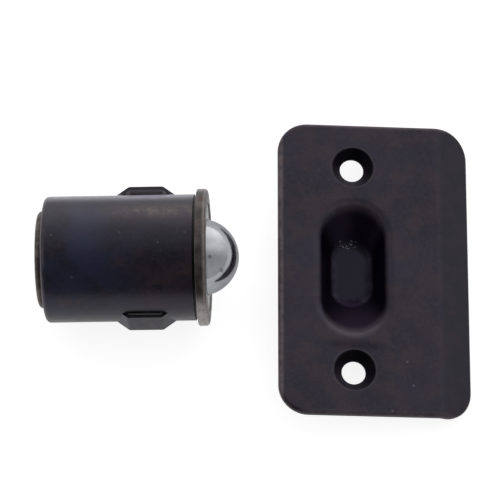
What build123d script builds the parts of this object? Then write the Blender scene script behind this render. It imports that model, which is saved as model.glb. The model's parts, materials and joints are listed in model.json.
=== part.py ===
from build123d import *
from build123d.topology import SkipClean
from math import asin, atan2, cos, degrees, hypot, radians, sin, sqrt, tan
import os

# A drive-in ball catch and its strike plate, lying side by side on a flat surface.
# Millimetres. Each half is modelled in a frame of its own and then laid down by one placement.
# The catch runs along X with the face of its flange at X = 0 and the ball towards +X.
# The strike has its face at Z = 0, its cup below, and the lip towards +X.

# Grip sleeve: a drawn shell that is driven into the hole in the door
sleeve_dia = 23.4
sleeve_wall = 0.6
sleeve_length = 27.8
sleeve_bend = 0.9

# Grip ribs: flat-topped bridges lanced out of the sleeve, off its crown, which bite into the wood
rib_count = 2
rib_top_length = 6.3
rib_width = 5.0
rib_height = 0.85
rib_offset = 2.2
rib_slope = 38.0
rib_kerf = 0.15
rib_bend = 0.8
rib_setback = 9.15
rib_roll = 8.9

# Flange: a ring that stops the catch at the door's edge, with a spigot inside the sleeve
flange_overhang = 1.0
flange_thickness = 1.9
flange_crown = 0.12
flange_edge = 0.5
flange_back_edge = 0.25
flange_gap = 0.5
spigot_length = 3.0
spigot_wall = 0.94

# Ball and its housing, whose nose shows inside the flange
ball_dia = 14.29
ball_stand_out = 5.65
housing_wall = 1.8
nose_inset = 0.1
nose_bevel = 0.12
nose_edge = 0.1
throat_setback = 0.55

# Rear cap: a drawn hat whose brim is trapped between the housing and the sleeve's turned-in end
cap_inset = 0.07
cap_wall = 0.7
cap_proud = 1.3
cap_bend = 0.8

# Ball seat: a plunger with a round socket in front and a spring pocket behind
seat_length = 11.0
seat_web = 1.3
seat_vent_dia = 4.0
seat_gap = 0.3
seat_chamfer = 0.3
pocket_wall = 1.15

# Coil spring
spring_wire = 1.4
spring_wire_sides = 12
spring_turns = 6.0

# Clearances, each on a radius, or at an end for the spring
ball_play = 0.03
seat_play = 0.05
nose_play = 0.06
housing_play = 0.2
cap_play = 0.1
spring_side_play = 0.3
spring_end_play = 0.02

# Strike plate: one pressed sheet with a cup, two sunk screw holes and a bent lip
strike_height = 57.15
strike_sheet = 1.5
strike_flat = 30.4
strike_centre = 14.15
strike_corner = 5.6
strike_face_edge = 0.7
strike_back_edge = 0.25
lip_length = 6.8
lip_bend = 27.0
lip_bend_radius = 2.5

# Strike cup, which the ball snaps into: steep along its sides and sloped gently at its ends
cup_width = 13.0
cup_length = 27.0
cup_depth = 5.0
cup_floor_width = 8.0
cup_floor_length = 11.4
cup_floor_bend = 2.4
cup_rim_bend = 1.9
cup_back_bend = 0.6
cup_sheet = 1.3

# Screw holes, sunk by pressing, so that each leaves a low cone on the back
hole_spacing = 40.0
hole_dia = 4.5
sink_dia = 7.8
sink_angle = 82.0
sink_land = 0.5
sink_edge = 0.3
sink_skin = 0.75

# Layout on the surface
layout_gap = 7.15

# Radii of the catch, from the sleeve inwards
sleeve_radius = sleeve_dia / 2
sleeve_bore = sleeve_radius - sleeve_wall
flange_radius = sleeve_radius + flange_overhang
flange_bore = sleeve_bore - spigot_wall
nose_radius = flange_bore - nose_play
housing_radius = sleeve_bore - housing_play
housing_bore = housing_radius - housing_wall
cap_radius = housing_bore - cap_inset
seat_radius = housing_bore - seat_play
pocket_radius = seat_radius - pocket_wall
spring_radius = pocket_radius - spring_side_play - spring_wire / 2

# Stations along the catch, from the face of the flange backwards
flange_back = -flange_thickness
sleeve_front = flange_back - flange_gap
sleeve_rear = sleeve_front - sleeve_length
housing_shoulder = flange_back - spigot_length
brim_rear = sleeve_rear + sleeve_wall
housing_rear = brim_rear + cap_wall
cap_rear = sleeve_rear - cap_proud
cap_floor = cap_rear + cap_wall

# Ball, socket and travel
ball_radius = ball_dia / 2
ball_centre = ball_stand_out - ball_radius
socket_radius = ball_radius + ball_play
throat_rear = ball_centre - throat_setback
seat_front = throat_rear - seat_gap
seat_rear = seat_front - seat_length
socket_floor = ball_centre - socket_radius
pocket_floor = socket_floor - seat_web

# Depth of a screw hole's cone
sink_depth = (sink_dia - hole_dia) / 2 / tan(radians(sink_angle / 2))


def rounded(face, corners, radius):
    """The face with the corners that lie nearest to the given points rounded."""
    picked = [min(face.vertices(), key=lambda v: (v.center() - Vector(*c)).length) for c in corners]
    return fillet(picked, radius)


def common_tangent(rear, rear_radius, front, front_radius):
    """Slope in degrees of the line that touches two circles from below."""
    run = front[0] - rear[0]
    rise = front[1] - rear[1]
    return degrees(atan2(rise, run) - asin((front_radius - rear_radius) / hypot(run, rise)))


def make_grip_sleeve():
    hole = cap_radius + cap_play
    inner_bend = sleeve_bend - sleeve_wall
    wall = make_face(
        Polyline(
            (sleeve_front, sleeve_bore),
            (sleeve_front, sleeve_radius),
            (sleeve_rear, sleeve_radius),
            (sleeve_rear, hole),
            (brim_rear, hole),
            (brim_rear, sleeve_bore),
            close=True,
        )
    )
    wall = rounded(wall, [(sleeve_rear, sleeve_radius)], sleeve_bend)
    wall = rounded(wall, [(brim_rear, sleeve_bore)], inner_bend)
    shell = revolve(wall, Axis.X)
    rib = make_rib()
    window = make_rib_window()
    with SkipClean():
        for n in range(rib_count):
            shell -= rib_place(n) * window
            shell += rib_place(n) * rib
    return shell


def rib_place(n):
    """The turn about X that carries a rib from +Z to its place, the first one towards -Y."""
    return Rot(90 - rib_roll + 360 * n / rib_count, 0, 0)


def make_rib():
    """One bridge: the sheet runs up a slope, along the flat top and down again into the shell."""
    outside = rib_profile(0)
    inside = rib_profile(sleeve_wall)
    strip = make_face(Polyline(*outside, *reversed(inside), close=True))
    strip = rounded(strip, outside[1:3], rib_bend)
    strip = rounded(strip, inside[1:3], rib_bend - sleeve_wall)
    bore = Rot(0, 90, 0) * Cylinder(sleeve_bore, 2 * sleeve_length)
    return across_rib(strip, rib_width) - bore


def make_rib_window():
    """The cut that frees both sides of a bridge from the shell and opens it underneath."""
    opening = make_face(Polyline(*rib_profile(sleeve_wall / 2), close=True))
    return across_rib(opening, rib_width + 2 * rib_kerf)


def rib_profile(depth):
    """A line at a depth under the bridge's outside: foot, flat top and foot, seen from the side."""
    slope = radians(rib_slope)
    middle = sleeve_front - rib_setback
    foot = sqrt(sleeve_bore**2 - (rib_offset + rib_width / 2 + rib_kerf) ** 2)
    top = sleeve_radius + rib_height - depth
    half_top = rib_top_length / 2 - depth * tan(slope / 2)
    half_foot = half_top + (top - foot) / tan(slope)
    return [
        (middle - half_foot, foot),
        (middle - half_top, top),
        (middle + half_top, top),
        (middle + half_foot, foot),
    ]


def across_rib(section, width):
    """A section of the rib, given its width, beside the sleeve's crown at +Z."""
    return Pos(0, -rib_offset, 0) * extrude(Plane.XZ * section, width / 2, both=True)


def make_flange():
    section = make_face(
        Polyline(
            (0, flange_radius),
            (flange_crown, flange_bore),
            (housing_shoulder, flange_bore),
            (housing_shoulder, sleeve_bore),
            (flange_back, sleeve_bore),
            (flange_back, flange_radius),
            close=True,
        )
    )
    section = rounded(section, [(0, flange_radius)], flange_edge)
    section = rounded(section, [(flange_back, flange_radius)], flange_back_edge)
    section = rounded(section, [(flange_crown, flange_bore)], flange_crown)
    return revolve(section, Axis.X)


def make_housing():
    """A turned barrel: its nose fills the flange and its throat holds the ball from in front."""
    nose_front = -nose_inset
    mouth = sqrt(socket_radius**2 - (nose_front - ball_centre) ** 2)
    throat = sqrt(socket_radius**2 - throat_setback**2)
    middle_angle = (atan2(mouth, nose_front - ball_centre) + atan2(throat, -throat_setback)) / 2
    middle = (ball_centre + socket_radius * cos(middle_angle), socket_radius * sin(middle_angle))
    outline = Polyline(
        (throat_rear, throat),
        (throat_rear, housing_bore),
        (housing_rear, housing_bore),
        (housing_rear, housing_radius),
        (housing_shoulder, housing_radius),
        (housing_shoulder, nose_radius),
        (nose_front - nose_bevel, nose_radius),
        (nose_front, nose_radius - nose_bevel),
        (nose_front, mouth),
    )
    throat_arc = ThreePointArc((nose_front, mouth), middle, (throat_rear, throat))
    section = make_face([outline, throat_arc])
    section = rounded(section, [(nose_front, mouth)], nose_edge)
    return revolve(section, Axis.X)


def make_rear_cap():
    inner = cap_radius - cap_wall
    brim = sleeve_bore - cap_play
    section = make_face(
        Polyline(
            (housing_rear, inner),
            (housing_rear, brim),
            (brim_rear, brim),
            (brim_rear, cap_radius),
            (cap_rear, cap_radius),
            (cap_rear, 0),
            (cap_floor, 0),
            (cap_floor, inner),
            close=True,
        )
    )
    section = rounded(section, [(brim_rear, brim), (housing_rear, inner)], sleeve_bend - sleeve_wall)
    section = rounded(section, [(cap_rear, cap_radius)], cap_bend)
    section = rounded(section, [(cap_floor, inner)], cap_bend / 4)
    return revolve(section, Axis.X)


def make_ball():
    return Pos(ball_centre, 0, 0) * Sphere(ball_radius)


def make_ball_seat():
    middle = Pos((seat_front + seat_rear) / 2, 0, 0)
    blank = middle * Rot(0, 90, 0) * Cylinder(seat_radius, seat_length)
    blank = chamfer(blank.edges().filter_by(GeomType.CIRCLE), seat_chamfer)
    blank -= Pos(ball_centre, 0, 0) * Sphere(socket_radius)
    pocket_depth = pocket_floor - seat_rear
    pocket = Pos(seat_rear + pocket_depth / 2, 0, 0)
    blank -= pocket * Rot(0, 90, 0) * Cylinder(pocket_radius, pocket_depth)
    vent = Pos(pocket_floor, 0, 0) * Rot(0, 90, 0) * Cylinder(seat_vent_dia / 2, seat_length)
    return blank - vent


def make_spring():
    """An even coil of many-sided wire, its plain ends bearing on the seat's pocket and the cap."""
    height = pocket_floor - cap_floor - 2 * spring_end_play - spring_wire
    path = Helix(height / spring_turns, height, spring_radius)
    wire = Plane(path @ 0, z_dir=path % 0) * RegularPolygon(spring_wire / 2, spring_wire_sides)
    first_turn = cap_floor + spring_end_play + spring_wire / 2
    return Pos(first_turn, 0, 0) * Rot(0, 90, 0) * sweep(wire, path)


def make_strike():
    plate = make_strike_sheet()
    plate += make_cup_form(cup_sheet)
    plate = fillet(round_the_cup(plate, -strike_sheet), cup_back_bend)
    plate -= make_cup_form(0)
    plate = fillet(round_the_cup(plate, 0), cup_rim_bend)
    for side in (1, -1):
        plate += Pos(0, side * hole_spacing / 2, 0) * make_sink_cone()
        plate -= Pos(0, side * hole_spacing / 2, 0) * make_screw_hole()
    return fillet([edge for edge in plate.edges() if is_sink_edge(edge)], sink_edge)


def is_sink_edge(edge):
    circle = edge.geom_type == GeomType.CIRCLE and abs(edge.radius - sink_dia / 2) < 1e-6
    return circle and abs(edge.arc_center.Z) < 1e-6


def round_the_cup(plate, height):
    """The edges where the cup meets the sheet, on its face or on its back."""
    level = [edge for edge in plate.edges() if abs((edge @ 0.5).Z - height) < 1e-6]
    margin = 2 * cup_sheet
    return [
        edge
        for edge in level
        if abs((edge @ 0.5).X) < cup_width / 2 + margin and abs((edge @ 0.5).Y) < cup_length / 2 + margin
    ]


def make_strike_sheet():
    """The sheet, bent once, with round corners and its edges eased all round on both sides."""
    left = -strike_centre
    bend = left + strike_flat
    drop = radians(lip_bend)
    tip = (bend + lip_length * cos(drop), -lip_length * sin(drop))
    under_bend = (bend - strike_sheet * tan(drop / 2), -strike_sheet)
    section = make_face(
        Polyline(
            (left, 0),
            (bend, 0),
            tip,
            (tip[0] - strike_sheet * sin(drop), tip[1] - strike_sheet * cos(drop)),
            under_bend,
            (left, -strike_sheet),
            close=True,
        )
    )
    section = rounded(section, [(bend, 0)], lip_bend_radius)
    section = rounded(section, [under_bend], lip_bend_radius - strike_sheet)
    sheet = extrude(Plane.XZ * section, strike_height / 2, both=True)
    corners = [e for e in sheet.edges() if abs(e.length - strike_sheet) < 1e-6]
    sheet = fillet(corners, strike_corner)
    sheet = fillet(border(sheet, 1), strike_face_edge)
    return fillet(border(sheet, -1), strike_back_edge)


def border(sheet, side):
    """The edges round the sheet's face, side 1, or round its back, side -1."""
    faces = [face for face in sheet.faces() if face.normal_at().Z * side > 0.5]
    edges = [edge for face in faces for edge in face.edges()]
    return [edge for edge in edges if sum(edge.is_same(other) for other in edges) == 1]


def make_cup_form(skin):
    """The cup's hollow, or with a skin its outside, from the face down."""
    side = cup_slope(cup_width, cup_floor_width)
    end = cup_slope(cup_length, cup_floor_length)
    mouth = SlotOverall(cup_length + 2 * skin / sin(end), cup_width + 2 * skin / sin(side))
    floor = SlotOverall(
        cup_floor_length + 2 * skin * tan(end / 2),
        cup_floor_width + 2 * skin * tan(side / 2),
    )
    form = Rot(0, 0, 90) * loft([mouth.face(), (Pos(0, 0, -cup_depth - skin) * floor).face()])
    lowest = form.faces().sort_by(Axis.Z)[0]
    return fillet(lowest.edges(), cup_floor_bend + skin)


def cup_slope(mouth, floor):
    """Slope in radians of the cup's wall between two opposite sides of its mouth and floor."""
    return atan2(cup_depth, (mouth - floor) / 2)


def make_sink_cone():
    """The cone that the pressed hole pushes out of the back."""
    depth = sink_depth + sink_land
    cone = Cone(hole_dia / 2 + sink_skin, sink_dia / 2 + sink_skin, depth)
    return Pos(0, 0, -depth / 2) * cone


def make_screw_hole():
    sink = Pos(0, 0, -sink_depth / 2) * Cone(hole_dia / 2, sink_dia / 2, sink_depth)
    return sink + Pos(0, 0, -sink_depth) * Cylinder(hole_dia / 2, 4 * sink_land)


def catch_pitch():
    """Slope at which the catch lies, on the flange's back edge and the sleeve's rear bend."""
    rear = (sleeve_rear + sleeve_bend, sleeve_bend - sleeve_radius)
    front = (flange_back + flange_back_edge, flange_back_edge - flange_radius)
    return common_tangent(rear, sleeve_bend, front, flange_back_edge)


def strike_pitch():
    """Slope at which the strike lies, on the floor of its cup and the end of its lip."""
    bend = cup_floor_bend + cup_sheet
    side = cup_slope(cup_width, cup_floor_width)
    cup = (cup_floor_width / 2 - cup_floor_bend * tan(side / 2), bend - cup_depth - cup_sheet)
    drop = radians(lip_bend)
    along = lip_length - strike_back_edge
    under = strike_sheet - strike_back_edge
    lip = (
        strike_flat - strike_centre + along * cos(drop) - under * sin(drop),
        -along * sin(drop) - under * cos(drop),
    )
    return common_tangent(cup, bend, lip, strike_back_edge)


def laid_down(pieces, pitch, left):
    """The placement that lays the pieces on Z = 0, tilted, with their left end at X = left."""
    tilt = Rot(0, pitch, 0)
    box = Compound([tilt * piece for piece in pieces.values()]).bounding_box()
    return Pos(left - box.min.X, 0, -box.min.Z) * tilt, box.size.X


if __name__ == "__main__":
    os.makedirs("parts", exist_ok=True)
    catch = {
        "grip_sleeve": make_grip_sleeve(),
        "face_flange": make_flange(),
        "ball_housing": make_housing(),
        "rear_cap": make_rear_cap(),
        "ball": make_ball(),
        "ball_seat": make_ball_seat(),
        "coil_spring": make_spring(),
    }
    strike = {"strike_plate": make_strike()}
    place, catch_span = laid_down(catch, catch_pitch(), 0)
    place_strike, strike_span = laid_down(strike, strike_pitch(), 0)
    centring = Pos(-(catch_span + layout_gap + strike_span) / 2, 0, 0)
    catch_place = centring * place
    strike_place = centring * Pos(catch_span + layout_gap, 0, 0) * place_strike
    placed = {name: catch_place * piece for name, piece in catch.items()}
    placed |= {name: strike_place * piece for name, piece in strike.items()}
    for name, piece in placed.items():
        export_step(piece, f"parts/{name}.step")
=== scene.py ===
import json
from math import asin, cos, pi, radians, sin

import bpy
from mathutils import Matrix, Vector


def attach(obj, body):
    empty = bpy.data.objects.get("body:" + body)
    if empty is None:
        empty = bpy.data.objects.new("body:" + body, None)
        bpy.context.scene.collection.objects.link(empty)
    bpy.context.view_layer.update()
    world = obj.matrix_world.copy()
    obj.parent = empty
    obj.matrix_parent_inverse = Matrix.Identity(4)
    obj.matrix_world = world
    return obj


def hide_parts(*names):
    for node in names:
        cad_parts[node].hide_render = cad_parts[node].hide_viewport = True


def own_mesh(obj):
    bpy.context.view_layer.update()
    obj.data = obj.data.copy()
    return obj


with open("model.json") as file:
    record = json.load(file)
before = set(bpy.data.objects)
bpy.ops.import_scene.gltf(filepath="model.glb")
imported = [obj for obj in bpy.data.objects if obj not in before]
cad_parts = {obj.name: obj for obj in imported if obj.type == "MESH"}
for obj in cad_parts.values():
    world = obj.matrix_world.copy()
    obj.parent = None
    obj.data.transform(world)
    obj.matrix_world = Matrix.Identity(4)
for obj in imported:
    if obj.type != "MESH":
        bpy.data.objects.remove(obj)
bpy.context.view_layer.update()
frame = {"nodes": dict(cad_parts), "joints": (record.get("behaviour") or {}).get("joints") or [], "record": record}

MM = 0.001
IMAGE_SIDE_PX = 500
SENSOR_MM = 36.0

# Camera, fitted to the photograph's frame
CAMERA_AZIMUTH = 1.908
CAMERA_ELEVATION = 70.7
CAMERA_ROLL = -2.042
CAMERA_DISTANCE = 0.6675
CAMERA_FOCUS_PX = 3530.0
CAMERA_TARGET = Vector((-0.88, 5.83, 0.0)) * MM
CAMERA_CLIP = (0.01, 20.0)

# Light levels, where 1 is white
SKY_DIM = 0.12
# Soft bright patches: the way to the middle, the cosine from it at the rim and at the full core, and the level
SKY_PATCHES = [
    (Vector((0.15, 0.9, 0.4)).normalized(), 0.15, 0.8, 0.6),
    (Vector((0.0, 1.0, 0.1)).normalized(), 0.6, 1.0, 0.7),
    (Vector((1.0, 0.0, 0.0)), 0.08, 0.4, 0.42),
]
FLOOR_SIDE = 4.0
FLOOR_SHADE = 0.4
FLOOR_GLOW = 0.86
FLOOR_GLOSS_GLOW = 0.6
SOFTBOX_AZIMUTH = -90
SOFTBOX_ELEVATION = 40
SOFTBOX_DISTANCE = 0.7
SOFTBOX_SIDE = 0.5
SOFTBOX_LEVEL = 0.9

# Tints of the gloss: violet on the black oxide, and dark towards the ball's rim
VIOLET_GLOSS = (0.88, 0.82, 1.0)
BALL_GLOSS = (0.62, 0.62, 0.64)

# Share of a soft dot's radius at which it is full
DOT_CORE = 0.4

# The ribs' turn about the catch's axis, in degrees
RIB_ROLL = 8.9

# Sizes of the pieces that the finishes follow, in metres
BARREL_RADIUS = 11.7 * MM
BARREL_REAR = -30.2 * MM
RIB_MIDDLE = -11.55 * MM
RIB_CUT_HALF_LENGTH = 4.5 * MM
UPPER_RIB_FACE = 4.5 * MM
KERF_TOP = 3.85 * MM
KERF_BOTTOM = 2.2 * MM
CAP_CORNER_RADIUS = 8.7 * MM
FLANGE_RADIUS = 12.7 * MM
FLANGE_BORE = 10.16 * MM
FLANGE_BACK = -1.9 * MM
SPIGOT_RADIUS = 11.1 * MM
BALL_CENTRE = -1.495 * MM
STRIKE_LEFT = -14.15 * MM
STRIKE_BEND = 16.25 * MM
STRIKE_HALF_HEIGHT = 28.575 * MM
HOLE_LAND_DEPTH = 2.15 * MM
HOLE_OFFSET = 20.0 * MM
HOLE_SINK_RADIUS = 3.9 * MM
CUP_HALF_WIDTH = 6.5 * MM
CUP_HALF_LENGTH = 13.5 * MM
CUP_DEPTH = 5.0 * MM

# Small marks, as X and Y in a half's own frame in millimetres
SLEEVE_MARKS = [(-16.8, 5.2), (-15.7, 1.0), (-8.6, -1.0), (-3.7, 0.8), (-24.4, -6.8), (-28.1, 0.7)]
BALL_MARKS = [(0.6, -2.2), (2.6, -4.0)]
STRIKE_MARKS = [(9.8, -18.2), (10.9, -22.8), (6.9, -27.8)]


def mount(name):
    return next(m for m in frame["record"]["mounts"] if m["name"] == name)


def joint(name):
    return next(j for j in frame["joints"] if j["name"] == name)


catch_axis = -Vector(joint("plunger_slide")["axis"])
catch_pitch = -asin(catch_axis.z)
catch_origin = Vector(joint("ball_roll")["pos_m"]) - catch_axis * BALL_CENTRE
strike_normal = Vector(mount("upper_screw_hole")["axis"])
strike_pitch = asin(strike_normal.x)
screw_holes = [Vector(mount(name)["pos_m"]) for name in ("upper_screw_hole", "lower_screw_hole")]
strike_origin = sum(screw_holes, Vector()) / 2 + strike_normal * HOLE_LAND_DEPTH


def rgb(red, green, blue):
    """A colour given in the usual 0 to 255 steps, as linear light."""
    steps = [value / 255 for value in (red, green, blue)]
    light = [s / 12.92 if s <= 0.04045 else ((s + 0.055) / 1.055) ** 2.4 for s in steps]
    return (*light, 1.0)


class Finish:
    """A material whose nodes are added by small steps, each of which returns an output socket."""

    def __init__(self, name, origin, pitch):
        self.material = bpy.data.materials.new(name)
        self.material.use_nodes = True
        self.tree = self.material.node_tree
        self.shader = self.tree.nodes["Principled BSDF"]
        place = self.add("Mapping", vector_type="TEXTURE")
        place.inputs["Location"].default_value = origin
        place.inputs["Rotation"].default_value = (0, pitch, 0)
        self.put(place.inputs["Vector"], self.add("TexCoord").outputs["Object"])
        self.place = place.outputs["Vector"]
        parts = self.add("SeparateXYZ")
        self.put(parts.inputs[0], self.place)
        self.x, self.y, self.z = parts.outputs

    def add(self, kind, **settings):
        node = self.tree.nodes.new("ShaderNode" + kind)
        for key, value in settings.items():
            setattr(node, key, value)
        return node

    def put(self, socket, value):
        """Links an output to the socket, or sets a plain value on it."""
        if isinstance(value, bpy.types.NodeSocket):
            self.tree.links.new(value, socket)
        else:
            socket.default_value = value

    def math(self, operation, first, second=0.0, third=0.0):
        node = self.add("Math", operation=operation)
        for socket, value in zip(node.inputs, (first, second, third)):
            self.put(socket, value)
        return node.outputs[0]

    def stretched(self, scale):
        """The place with each axis scaled, for grain that runs one way."""
        node = self.add("Mapping", vector_type="POINT")
        self.put(node.inputs["Vector"], self.place)
        node.inputs["Scale"].default_value = scale
        return node.outputs["Vector"]

    def noise(self, size, detail=3.0, roughness=0.5, where=None, seed=0.0):
        node = self.add("TexNoise", noise_dimensions="4D")
        self.put(node.inputs["Vector"], where or self.place)
        node.inputs["W"].default_value = seed
        node.inputs["Scale"].default_value = 1 / size
        node.inputs["Detail"].default_value = detail
        node.inputs["Roughness"].default_value = roughness
        return node.outputs[0]

    def dots(self, spacing, radius, seed=0.0):
        """Sparse soft dots, 1 at a dot's middle and 0 away from it."""
        node = self.add("TexVoronoi", voronoi_dimensions="4D", feature="F1")
        self.put(node.inputs["Vector"], self.place)
        node.inputs["W"].default_value = seed
        node.inputs["Scale"].default_value = 1 / spacing
        share = radius / spacing
        return self.between(node.outputs["Distance"], share, share * DOT_CORE)

    def marks(self, places, radius):
        """One soft dot at each X and Y given, whatever the Z."""
        flat = self.add("CombineXYZ")
        self.put(flat.inputs[0], self.x)
        self.put(flat.inputs[1], self.y)
        total = 0.0
        for x, y in places:
            gap = self.add("VectorMath", operation="DISTANCE")
            self.put(gap.inputs[0], flat.outputs[0])
            self.put(gap.inputs[1], (x * MM, y * MM, 0))
            dot = self.between(gap.outputs["Value"], radius, radius * DOT_CORE)
            total = self.math("MAXIMUM", total, dot)
        return total

    def between(self, value, low, high):
        """0 at low and 1 at high, eased, and flat outside."""
        node = self.add("MapRange", interpolation_type="SMOOTHSTEP")
        self.put(node.inputs["Value"], value)
        node.inputs["From Min"].default_value = low
        node.inputs["From Max"].default_value = high
        return node.outputs["Result"]

    def scaled(self, value, low, high):
        """A share from 0 to 1 laid out between two numbers."""
        return self.math("MULTIPLY_ADD", value, high - low, low)

    def near(self, value, centre, reach):
        """1 at the centre, and 0 from one reach away on."""
        gap = self.math("ABSOLUTE", self.math("SUBTRACT", value, centre))
        return self.between(gap, reach, 0.0)

    def both(self, *shares):
        product = shares[0]
        for share in shares[1:]:
            product = self.math("MULTIPLY", product, share)
        return product

    def mix(self, share, first, second):
        node = self.add("Mix", data_type="RGBA")
        self.put(node.inputs["Factor"], share)
        self.put(node.inputs[6], first)
        self.put(node.inputs[7], second)
        return node.outputs[2]

    def radius(self):
        """Distance from the X axis of the finish's own frame."""
        squares = [self.math("MULTIPLY", value, value) for value in (self.y, self.z)]
        return self.math("SQRT", self.math("ADD", *squares))

    def bump(self, *heights):
        """Each height is a share and the depth in metres that it stands for."""
        total = 0.0
        for share, depth in heights:
            total = self.math("MULTIPLY_ADD", share, depth, total)
        node = self.add("Bump")
        node.inputs["Distance"].default_value = 1.0
        node.inputs["Strength"].default_value = 1.0
        self.put(node.inputs["Height"], total)
        self.put(self.shader.inputs["Normal"], node.outputs[0])

    def close(self, colour, roughness, metallic=0.0, gloss=(1.0, 1.0, 1.0)):
        self.put(self.shader.inputs["Base Color"], colour)
        self.put(self.shader.inputs["Roughness"], roughness)
        self.put(self.shader.inputs["Metallic"], metallic)
        self.shader.inputs["Specular Tint"].default_value = (*gloss, 1.0)
        return self.material


def catch_finish(name):
    return Finish(name, catch_origin, catch_pitch)


def strike_finish(name):
    return Finish(name, strike_origin, strike_pitch)


def painted_rib_light(f, colour):
    """Painted shade in the cut that frees each rib, and a painted highlight inside the one towards +Y."""
    tilt = radians(RIB_ROLL)
    out = f.math("MULTIPLY_ADD", f.z, -sin(tilt), f.math("MULTIPLY", f.y, cos(tilt)))
    off = f.math("MULTIPLY_ADD", f.z, cos(tilt), f.math("MULTIPLY", f.y, sin(tilt)))
    upper = f.between(out, BARREL_RADIUS - 0.7 * MM, BARREL_RADIUS - 0.2 * MM)
    upper_edge = f.both(upper, f.between(off, UPPER_RIB_FACE, UPPER_RIB_FACE + 0.15 * MM))
    upper_inside_highlight = f.both(
        upper,
        f.between(off, UPPER_RIB_FACE + 0.15 * MM, UPPER_RIB_FACE),
        f.between(out, BARREL_RADIUS + 0.5 * MM, BARREL_RADIUS + 0.3 * MM),
    )
    lower = f.between(out, -BARREL_RADIUS + 0.6 * MM, -BARREL_RADIUS + 0.2 * MM)
    lower_edge = f.both(lower, f.near(off, 0.3 * MM, 0.3 * MM))
    along = f.math("ABSOLUTE", f.math("SUBTRACT", f.x, RIB_MIDDLE))
    kerf = f.both(
        f.between(along, RIB_CUT_HALF_LENGTH, RIB_CUT_HALF_LENGTH - 0.4 * MM),
        f.between(f.y, -10.0 * MM, -10.8 * MM),
        f.between(f.z, KERF_TOP, KERF_TOP - 0.25 * MM),
        f.between(f.z, KERF_BOTTOM, KERF_BOTTOM + 0.3 * MM),
        f.between(f.radius(), BARREL_RADIUS + 0.3 * MM, BARREL_RADIUS + 0.1 * MM),
    )
    # Near-black painted shade along each rib's cut and in the kerf, and a pale painted highlight inside the upper
    # rib
    dark = f.math("MAXIMUM", upper_edge, f.math("MAXIMUM", lower_edge, kerf))
    return f.mix(upper_inside_highlight, f.mix(dark, colour, rgb(9, 8, 11)), rgb(214, 208, 218))


def sleeve_material():
    f = catch_finish("blackened_sleeve")
    cloud = f.between(f.noise(9 * MM, seed=1.0), 0.35, 0.65)
    colour = f.mix(cloud, rgb(12, 11, 20), rgb(20, 17, 29))
    blue = f.both(f.between(f.noise(7 * MM, seed=2.0), 0.42, 0.62), f.between(f.x, -8 * MM, -22 * MM))
    low_rear = f.both(f.near(f.x, -25 * MM, 9 * MM), f.near(f.y, -8 * MM, 6 * MM))
    colour = f.mix(f.math("MAXIMUM", blue, low_rear), colour, rgb(28, 34, 56))
    blotch = f.noise(6 * MM, detail=4.0, roughness=0.6, seed=3.0)
    red = f.both(f.between(blotch, 0.5, 0.66), f.between(f.y, 0.0, -7 * MM))
    blotches = f.between(blotch, 0.35, 0.6)
    low_front = f.both(f.near(f.x, -9 * MM, 9 * MM), f.near(f.y, -8 * MM, 5 * MM), blotches)
    colour = f.mix(f.math("MULTIPLY", f.math("MAXIMUM", red, low_front), 0.75), colour, rgb(60, 43, 44))
    haze = f.both(
        f.near(f.y, 4.9 * MM, 4.2 * MM),
        f.between(f.x, -28 * MM, -9 * MM),
        f.between(f.z, 0.0, 1 * MM),
    )
    colour = f.mix(f.both(haze, f.scaled(blotches, 0.2, 0.6)), colour, rgb(54, 45, 44))
    streaks = f.noise(0.5 * MM, detail=4.0, where=f.stretched((0.12, 1, 1)), seed=4.0)
    # Noise for the wear and for the painted highlight on the top edge
    wear_and_sheen_noise = f.between(f.noise(1.6 * MM, detail=5.0, roughness=0.65, seed=5.0), 0.42, 0.7)
    worn_band = f.both(
        f.near(f.y, 5.7 * MM, 2.6 * MM),
        f.between(f.x, -21 * MM, -10 * MM),
        f.between(f.z, 0.0, 1 * MM),
    )
    colour = f.mix(f.both(worn_band, f.scaled(wear_and_sheen_noise, 0.25, 1.0)), colour, rgb(92, 80, 72))
    mottle = f.between(f.noise(0.7 * MM, detail=4.0, roughness=0.7, seed=9.0), 0.45, 0.72)
    colour = f.mix(f.math("MULTIPLY", mottle, 0.5), colour, rgb(46, 40, 48))
    specks = f.math("MAXIMUM", f.dots(2.4 * MM, 0.12 * MM, seed=6.0), f.marks(SLEEVE_MARKS, 0.28 * MM))
    colour = f.mix(f.math("MULTIPLY", specks, 0.3), colour, rgb(106, 102, 106))
    rear_edge = f.between(f.x, BARREL_REAR + 1.3 * MM, BARREL_REAR + 0.2 * MM)
    radius = f.radius()
    rib_top = f.between(radius, BARREL_RADIUS + 0.5 * MM, BARREL_RADIUS + 1.5 * MM)
    rubbed = f.both(f.math("MAXIMUM", rear_edge, rib_top), f.scaled(wear_and_sheen_noise, 0.2, 0.7))
    colour = f.mix(rubbed, colour, rgb(78, 70, 70))
    off_ribs = f.between(radius, BARREL_RADIUS + 0.3 * MM, BARREL_RADIUS)
    # Painted highlight: a pale band along the barrel's top edge, off the ribs
    top_edge_highlight = f.both(f.between(f.y, 8.0 * MM, 10.6 * MM), off_ribs)
    colour = f.mix(f.both(top_edge_highlight, f.scaled(wear_and_sheen_noise, 0.7, 1.0)), colour, rgb(164, 160, 174))
    # Painted shade and highlight at the ribs' cuts
    colour = painted_rib_light(f, colour)
    roughness = f.scaled(f.noise(2 * MM, detail=4.0, seed=7.0), 0.24, 0.42)
    grain = f.noise(0.22 * MM, detail=2.0, seed=8.0)
    f.bump((streaks, 0.01 * MM), (grain, 0.01 * MM), (mottle, 0.008 * MM), (specks, 0.01 * MM))
    return f.close(colour, roughness, gloss=VIOLET_GLOSS)


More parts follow.
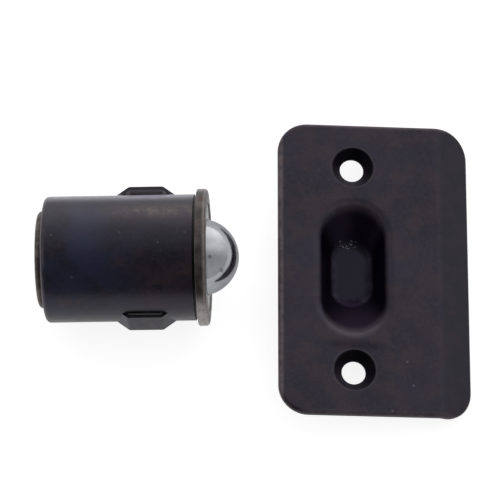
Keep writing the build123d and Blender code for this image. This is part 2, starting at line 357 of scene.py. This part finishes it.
def bronze(f, dark, light, red, seed):
    """Burnished dark bronze, shared by the flange and the rear cap."""
    cloud = f.between(f.noise(2.4 * MM, detail=5.0, roughness=0.6, seed=seed), 0.36, 0.64)
    colour = f.mix(cloud, dark, light)
    patch = f.between(f.noise(3.2 * MM, detail=4.0, seed=seed + 1), 0.52, 0.66)
    return f.mix(f.math("MULTIPLY", patch, 0.75), colour, red)


def flange_material():
    f = catch_finish("bronzed_flange")
    colour = bronze(f, rgb(54, 46, 47), rgb(88, 80, 80), rgb(72, 48, 42), 11.0)
    radius = f.radius()
    # The front edge's lighter band is wear and a painted highlight; the back edge and the bore's edge are wear
    front_edge_wear_and_highlight = f.both(f.near(f.x, -0.25 * MM, 0.45 * MM), f.near(radius, FLANGE_RADIUS, 0.7 * MM))
    back_edge = f.both(f.near(f.x, FLANGE_BACK, 0.3 * MM), f.near(radius, FLANGE_RADIUS, 0.4 * MM))
    bore_edge = f.near(radius, FLANGE_BORE, 0.25 * MM)
    patch_noise = f.between(f.noise(0.8 * MM, detail=4.0, seed=13.0), 0.3, 0.6)
    # Painted highlight: the outer rim made much lighter towards +Y and -Y
    ends = f.both(
        f.between(f.math("ABSOLUTE", f.y), 9.6 * MM, 12.4 * MM),
        f.between(radius, FLANGE_RADIUS - 0.4 * MM, FLANGE_RADIUS - 0.2 * MM),
    )
    edges = f.math("MAXIMUM", f.math("MULTIPLY", front_edge_wear_and_highlight, 0.6), f.math("MULTIPLY", back_edge, 0.25))
    rubbed = f.math("MAXIMUM", edges, bore_edge)
    colour = f.mix(f.both(rubbed, f.scaled(patch_noise, 0.35, 0.9)), colour, rgb(150, 142, 138))
    colour = f.mix(f.both(ends, f.scaled(patch_noise, 0.5, 1.0)), colour, rgb(190, 184, 182))
    # Painted shade: near-black on the flange's back face beside the spigot, in the gap to the sleeve
    gap_shade = f.both(
        f.between(f.x, FLANGE_BACK + 0.05 * MM, FLANGE_BACK - 0.05 * MM),
        f.between(radius, SPIGOT_RADIUS + 0.3 * MM, SPIGOT_RADIUS + 0.05 * MM),
    )
    colour = f.mix(gap_shade, colour, rgb(14, 12, 13))
    turning = f.noise(0.14 * MM, detail=2.0, where=f.stretched((1.0, 0.04, 0.04)), seed=14.0)
    grain = f.noise(0.3 * MM, detail=3.0, seed=15.0)
    roughness = f.scaled(f.noise(1.2 * MM, detail=4.0, seed=16.0), 0.3, 0.52)
    f.bump((turning, 0.008 * MM), (grain, 0.012 * MM))
    return f.close(colour, roughness, metallic=0.4)


def nose_material():
    f = catch_finish("blackened_nose")
    cloud = f.between(f.noise(2.5 * MM, detail=4.0, seed=21.0), 0.35, 0.65)
    colour = f.mix(cloud, rgb(12, 12, 15), rgb(24, 23, 27))
    scuffs = f.between(f.noise(0.5 * MM, detail=5.0, roughness=0.7, seed=22.0), 0.58, 0.72)
    nose = f.between(f.x, FLANGE_BACK - 0.5 * MM, FLANGE_BACK)
    colour = f.mix(f.both(scuffs, nose, 0.5), colour, rgb(92, 88, 88))
    rings = f.noise(0.12 * MM, detail=2.0, where=f.stretched((1.0, 0.05, 0.05)), seed=23.0)
    f.bump((rings, 0.004 * MM))
    dull = f.scaled(f.noise(1.5 * MM, seed=24.0), 0.5, 0.66)
    return f.close(colour, f.math("SUBTRACT", dull, f.math("MULTIPLY", nose, 0.35)))


def cap_material():
    f = catch_finish("bronzed_cap")
    colour = bronze(f, rgb(38, 33, 35), rgb(66, 59, 59), rgb(56, 40, 36), 31.0)
    radius = f.radius()
    corner = f.near(radius, CAP_CORNER_RADIUS, 0.6 * MM)
    patch_noise = f.between(f.noise(0.9 * MM, detail=4.0, seed=33.0), 0.35, 0.65)
    colour = f.mix(f.both(corner, f.scaled(patch_noise, 0.2, 0.7)), colour, rgb(138, 128, 120))
    scratches = f.noise(0.25 * MM, detail=4.0, where=f.stretched((1, 0.15, 1)), seed=34.0)
    f.bump((scratches, 0.008 * MM), (f.noise(0.3 * MM, seed=35.0), 0.01 * MM))
    return f.close(colour, f.scaled(f.noise(1.4 * MM, seed=36.0), 0.32, 0.55), metallic=0.5)


def ball_material():
    f = catch_finish("ball_steel")
    cloud = f.between(f.noise(3.0 * MM, detail=3.0, seed=41.0), 0.35, 0.65)
    colour = f.mix(cloud, rgb(164, 165, 170), rgb(182, 183, 186))
    stain = f.between(f.noise(1.1 * MM, detail=4.0, roughness=0.6, seed=42.0), 0.56, 0.75)
    colour = f.mix(f.math("MULTIPLY", stain, 0.3), colour, rgb(136, 131, 129))
    pits = f.math("MAXIMUM", f.dots(4.6 * MM, 0.3 * MM, seed=43.4), f.marks(BALL_MARKS, 0.5 * MM))
    pit_noise = f.between(f.noise(0.3 * MM, detail=4.0, seed=46.0), 0.35, 0.6)
    colour = f.mix(f.both(pits, f.scaled(pit_noise, 0.3, 0.75)), colour, rgb(96, 96, 104))
    hair = f.noise(0.16 * MM, detail=3.0, where=f.stretched((1, 0.1, 1)), seed=44.0)
    satin = f.scaled(f.noise(1.0 * MM, detail=4.0, seed=45.0), 0.1, 0.17)
    roughness = f.math("ADD", satin, f.math("MULTIPLY", pits, 0.15))
    f.bump((hair, 0.0004 * MM), (pits, -0.004 * MM))
    return f.close(colour, roughness, metallic=1.0, gloss=BALL_GLOSS)


def brass_material():
    f = catch_finish("seat_brass")
    cloud = f.between(f.noise(2.0 * MM, detail=4.0, seed=51.0), 0.35, 0.65)
    colour = f.mix(cloud, rgb(176, 142, 84), rgb(208, 174, 110))
    dull = f.between(f.noise(0.9 * MM, detail=4.0, seed=52.0), 0.55, 0.7)
    colour = f.mix(f.math("MULTIPLY", dull, 0.5), colour, rgb(124, 94, 58))
    rings = f.noise(0.12 * MM, detail=2.0, where=f.stretched((1.0, 0.04, 0.04)), seed=53.0)
    f.bump((rings, 0.006 * MM))
    return f.close(colour, f.scaled(f.noise(1.2 * MM, seed=54.0), 0.22, 0.4), metallic=1.0)


def spring_material():
    f = catch_finish("spring_steel")
    cloud = f.between(f.noise(1.4 * MM, detail=4.0, seed=61.0), 0.35, 0.65)
    colour = f.mix(cloud, rgb(120, 120, 124), rgb(168, 168, 172))
    rust = f.between(f.noise(0.8 * MM, detail=4.0, seed=62.0), 0.6, 0.75)
    colour = f.mix(f.math("MULTIPLY", rust, 0.4), colour, rgb(106, 84, 66))
    f.bump((f.noise(0.2 * MM, detail=3.0, seed=63.0), 0.008 * MM))
    return f.close(colour, f.scaled(f.noise(0.9 * MM, seed=64.0), 0.28, 0.45), metallic=1.0)


def strike_material():
    f = strike_finish("strike_black")
    cloud = f.between(f.noise(11 * MM, detail=4.0, seed=71.0), 0.34, 0.66)
    colour = f.mix(cloud, rgb(10, 8, 24), rgb(27, 25, 42))
    brown = f.between(f.noise(5 * MM, detail=5.0, roughness=0.6, seed=72.0), 0.44, 0.6)
    colour = f.mix(f.math("MULTIPLY", brown, 0.7), colour, rgb(50, 35, 38))
    grain = f.noise(0.35 * MM, detail=4.0, roughness=0.65, seed=73.0)
    mottle = f.between(f.noise(1.1 * MM, detail=5.0, roughness=0.75, seed=81.0), 0.42, 0.7)
    colour = f.mix(f.math("MULTIPLY", mottle, 0.6), colour, rgb(42, 36, 48))
    colour = f.mix(f.math("MULTIPLY", f.between(grain, 0.5, 0.75), 0.6), colour, rgb(58, 50, 58))
    # Painted shade: the bent lip darker
    lip_shade = f.between(f.x, STRIKE_BEND - 0.6 * MM, STRIKE_BEND + 1.0 * MM)
    colour = f.mix(f.math("MULTIPLY", lip_shade, 0.7), colour, rgb(10, 10, 21))
    patch_noise = f.between(f.noise(1.2 * MM, detail=5.0, seed=74.0), 0.3, 0.65)
    # The left edge's lighter band is wear and a painted highlight; the top and bottom ends are wear
    left_edge_wear_and_highlight = f.between(f.x, STRIKE_LEFT + 1.2 * MM, STRIKE_LEFT + 0.5 * MM)
    across = f.math("ABSOLUTE", f.x)
    far = f.math("ABSOLUTE", f.y)
    ends = f.between(far, STRIKE_HALF_HEIGHT - 1.0 * MM, STRIKE_HALF_HEIGHT - 0.1 * MM)
    rubbed = f.math("MAXIMUM", left_edge_wear_and_highlight, f.math("MULTIPLY", ends, 0.6))
    colour = f.mix(f.both(rubbed, f.scaled(patch_noise, 0.4, 0.95)), colour, rgb(104, 93, 95))
    cup = f.both(
        f.between(across, CUP_HALF_WIDTH + 0.4 * MM, CUP_HALF_WIDTH - 0.8 * MM),
        f.between(far, CUP_HALF_LENGTH + 0.4 * MM, CUP_HALF_LENGTH - 0.8 * MM),
        f.between(f.z, -0.4 * MM, -1.6 * MM),
    )
    # Painted shade: the cup much darker
    colour = f.mix(f.math("MULTIPLY", cup, 0.9), colour, rgb(14, 5, 24))
    squares = [f.math("POWER", value, 2.0) for value in (f.x, f.math("SUBTRACT", far, HOLE_OFFSET))]
    hole = f.math("SQRT", f.math("ADD", *squares))
    # Painted shade: the countersinks near-black
    countersink_shade = f.between(hole, HOLE_SINK_RADIUS + 0.2 * MM, HOLE_SINK_RADIUS - 0.2 * MM)
    colour = f.mix(countersink_shade, colour, rgb(10, 7, 12))
    # Painted highlight: lighter rims round the countersinks and at the cup's ends
    sink_rim = f.near(hole, HOLE_SINK_RADIUS + 0.15 * MM, 0.3 * MM)
    cup_rim = f.both(
        f.near(f.z, -0.35 * MM, 0.35 * MM),
        f.between(across, CUP_HALF_WIDTH + 1.5 * MM, CUP_HALF_WIDTH),
        f.between(far, CUP_HALF_LENGTH - 4 * MM, CUP_HALF_LENGTH - 1 * MM),
        f.between(far, HOLE_OFFSET - HOLE_SINK_RADIUS, HOLE_OFFSET - HOLE_SINK_RADIUS - 0.5 * MM),
    )
    rim_highlight = f.math("MAXIMUM", f.math("MULTIPLY", sink_rim, 0.6), cup_rim)
    colour = f.mix(f.both(rim_highlight, f.scaled(patch_noise, 0.3, 0.8)), colour, rgb(70, 64, 72))
    scratches = f.between(
        f.noise(0.18 * MM, detail=2.0, where=f.stretched((1, 0.08, 1)), seed=75.0), 0.66, 0.74
    )
    touched = f.between(f.noise(4 * MM, seed=76.0), 0.55, 0.7)
    colour = f.mix(f.both(scratches, touched, 0.18), colour, rgb(120, 112, 112))
    specks = f.math("MAXIMUM", f.dots(3.1 * MM, 0.14 * MM, seed=77.0), f.marks(STRIKE_MARKS, 0.3 * MM))
    colour = f.mix(f.math("MULTIPLY", specks, 0.45), colour, rgb(118, 110, 114))
    matt = f.scaled(f.noise(1.6 * MM, detail=4.0, seed=78.0), 0.42, 0.58)
    roughness = f.math("SUBTRACT", matt, f.math("MULTIPLY", cup, 0.16))
    waves = f.noise(3 * MM, detail=2.0, seed=79.0)
    f.bump((grain, 0.02 * MM), (waves, 0.03 * MM), (specks, 0.012 * MM))
    ragged = f.scaled(f.noise(1.4 * MM, detail=4.0, roughness=0.6, seed=80.0), -1.6 * MM, 1.6 * MM)
    cup_floor = f.both(
        f.between(f.z, -CUP_DEPTH + 0.8 * MM, -CUP_DEPTH + 0.2 * MM),
        f.between(f.math("ADD", across, ragged), 4.2 * MM, 2.4 * MM),
        f.between(f.math("ADD", f.y, ragged), -5.6 * MM, -4.2 * MM),
    )
    colour = f.mix(cup_floor, colour, rgb(6, 8, 24))
    scraped = f.both(
        f.near(f.x, -0.6 * MM, 2.6 * MM),
        f.near(f.y, 6.0 * MM, 1.1 * MM),
        f.between(f.z, -2.5 * MM, -3.5 * MM),
        f.between(f.noise(0.35 * MM, detail=3.0, roughness=0.7, seed=82.0), 0.54, 0.66),
    )
    colour = f.mix(scraped, colour, rgb(196, 198, 208))
    # Painted shade: more metal in the cup darkens its gloss, and less on its floor
    cup_metal_shade = f.both(cup, f.scaled(cup_floor, 0.8, 0.42))
    # Painted shade: more metal below the cup, on the lip and in the countersinks darkens their gloss
    below_cup_shade = f.both(
        f.between(across, 6.5 * MM, 3 * MM),
        f.near(f.y, -CUP_HALF_LENGTH - 1.7 * MM, 1.6 * MM),
    )
    painted_shade = f.math("MAXIMUM", f.math("MULTIPLY", below_cup_shade, 0.45), f.math("MULTIPLY", lip_shade, 0.16))
    metallic = f.math("MAXIMUM", f.math("MAXIMUM", cup_metal_shade, painted_shade), f.math("MULTIPLY", countersink_shade, 0.85))
    return f.close(colour, roughness, metallic=metallic, gloss=VIOLET_GLOSS)


def dress(node, material):
    slots = frame["nodes"][node].data.materials
    if not slots:
        slots.append(material)
    for n in range(len(slots)):
        slots[n] = material


def set_spring():
    """A copy of the spring, with its own mesh, on the root body; the solid spring is hidden."""
    node = frame["nodes"]["coil_spring"]
    spring = bpy.data.objects.new("closing_spring", node.data.copy())
    bpy.context.scene.collection.objects.link(spring)
    spring.matrix_world = node.matrix_world
    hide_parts("coil_spring")
    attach(spring, "root")
    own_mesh(spring)


def add_math(tree, operation, *values):
    node = tree.nodes.new("ShaderNodeMath")
    node.operation = operation
    for socket, value in zip(node.inputs, values):
        if isinstance(value, bpy.types.NodeSocket):
            tree.links.new(value, socket)
        else:
            socket.default_value = value
    return node.outputs[0]


def set_floor():
    """A pale floor that shows white to the eye and in gloss, and keeps the shadow."""
    bpy.ops.mesh.primitive_plane_add(size=FLOOR_SIDE)
    floor = bpy.context.object
    floor.name = "floor"
    material = bpy.data.materials.new("floor_white")
    material.use_nodes = True
    tree = material.node_tree
    tree.nodes.clear()
    seen = tree.nodes.new("ShaderNodeLightPath")
    strength = 0.0
    glows = {"Camera": FLOOR_GLOW, "Glossy": FLOOR_GLOSS_GLOW, "Transmission": FLOOR_GLOSS_GLOW}
    for kind, level in glows.items():
        strength = add_math(tree, "MULTIPLY_ADD", seen.outputs[f"Is {kind} Ray"], level, strength)
    glow = tree.nodes.new("ShaderNodeEmission")
    tree.links.new(strength, glow.inputs["Strength"])
    matt = tree.nodes.new("ShaderNodeBsdfDiffuse")
    matt.inputs["Color"].default_value = (FLOOR_SHADE, FLOOR_SHADE, FLOOR_SHADE, 1)
    total = tree.nodes.new("ShaderNodeAddShader")
    tree.links.new(glow.outputs[0], total.inputs[0])
    tree.links.new(matt.outputs[0], total.inputs[1])
    output = tree.nodes.new("ShaderNodeOutputMaterial")
    tree.links.new(total.outputs[0], output.inputs["Surface"])
    floor.data.materials.append(material)


def set_world():
    """White to the eye. On the object the sky is dim, but for soft patches behind and to the right."""
    world = bpy.data.worlds.new("studio")
    bpy.context.scene.world = world
    world.use_nodes = True
    tree = world.node_tree
    background = tree.nodes["Background"]
    background.inputs["Color"].default_value = (1, 1, 1, 1)
    place = tree.nodes.new("ShaderNodeTexCoord")
    sky = SKY_DIM
    for middle, rim, core, level in SKY_PATCHES:
        towards = tree.nodes.new("ShaderNodeVectorMath")
        towards.operation = "DOT_PRODUCT"
        towards.inputs[1].default_value = middle
        tree.links.new(place.outputs["Generated"], towards.inputs[0])
        patch = tree.nodes.new("ShaderNodeMapRange")
        patch.interpolation_type = "SMOOTHSTEP"
        patch.inputs["From Min"].default_value = rim
        patch.inputs["From Max"].default_value = core
        tree.links.new(towards.outputs["Value"], patch.inputs["Value"])
        sky = add_math(tree, "MULTIPLY_ADD", patch.outputs["Result"], level, sky)
    seen = tree.nodes.new("ShaderNodeLightPath")
    level = tree.nodes.new("ShaderNodeMix")
    level.data_type = "FLOAT"
    tree.links.new(seen.outputs["Is Camera Ray"], level.inputs[0])
    tree.links.new(sky, level.inputs[2])
    level.inputs[3].default_value = 1.0
    tree.links.new(level.outputs[0], background.inputs["Strength"])


def direction(azimuth, elevation):
    """The way out to a point seen at that azimuth and elevation, azimuth 0 towards -Y."""
    a, e = radians(azimuth), radians(elevation)
    return Vector((sin(a) * cos(e), -cos(a) * cos(e), sin(e)))


def set_softbox():
    """A square lamp on the left that faces the object, as bright all over as a white of its level."""
    light = bpy.data.lights.new("left_box", "AREA")
    light.shape = "SQUARE"
    light.size = SOFTBOX_SIDE
    light.energy = SOFTBOX_LEVEL * pi * SOFTBOX_SIDE**2
    lamp = bpy.data.objects.new("left_box", light)
    bpy.context.scene.collection.objects.link(lamp)
    out = direction(SOFTBOX_AZIMUTH, SOFTBOX_ELEVATION)
    lamp.location = out * SOFTBOX_DISTANCE
    lamp.rotation_euler = out.to_track_quat("Z", "Y").to_euler()


def set_camera():
    data = bpy.data.cameras.new("camera")
    data.sensor_width = SENSOR_MM
    data.lens = CAMERA_FOCUS_PX / IMAGE_SIDE_PX * SENSOR_MM
    data.clip_start, data.clip_end = CAMERA_CLIP
    camera = bpy.data.objects.new("camera", data)
    bpy.context.scene.collection.objects.link(camera)
    back = direction(CAMERA_AZIMUTH, CAMERA_ELEVATION)
    level = Vector((0, 0, 1)).cross(back).normalized()
    rise = back.cross(level)
    roll = radians(CAMERA_ROLL)
    right = level * cos(roll) + rise * sin(roll)
    up = rise * cos(roll) - level * sin(roll)
    turn = Matrix((right, up, back)).transposed().to_4x4()
    camera.matrix_world = Matrix.Translation(CAMERA_TARGET + back * CAMERA_DISTANCE) @ turn
    bpy.context.scene.camera = camera


FINISHES = {
    "grip_sleeve": sleeve_material,
    "face_flange": flange_material,
    "ball_housing": nose_material,
    "rear_cap": cap_material,
    "ball": ball_material,
    "ball_seat": brass_material,
    "coil_spring": spring_material,
    "strike_plate": strike_material,
}

for node, make in FINISHES.items():
    dress(node, make())
set_spring()
set_floor()
set_world()
set_softbox()
set_camera()
bpy.context.scene.view_settings.view_transform = "Standard"
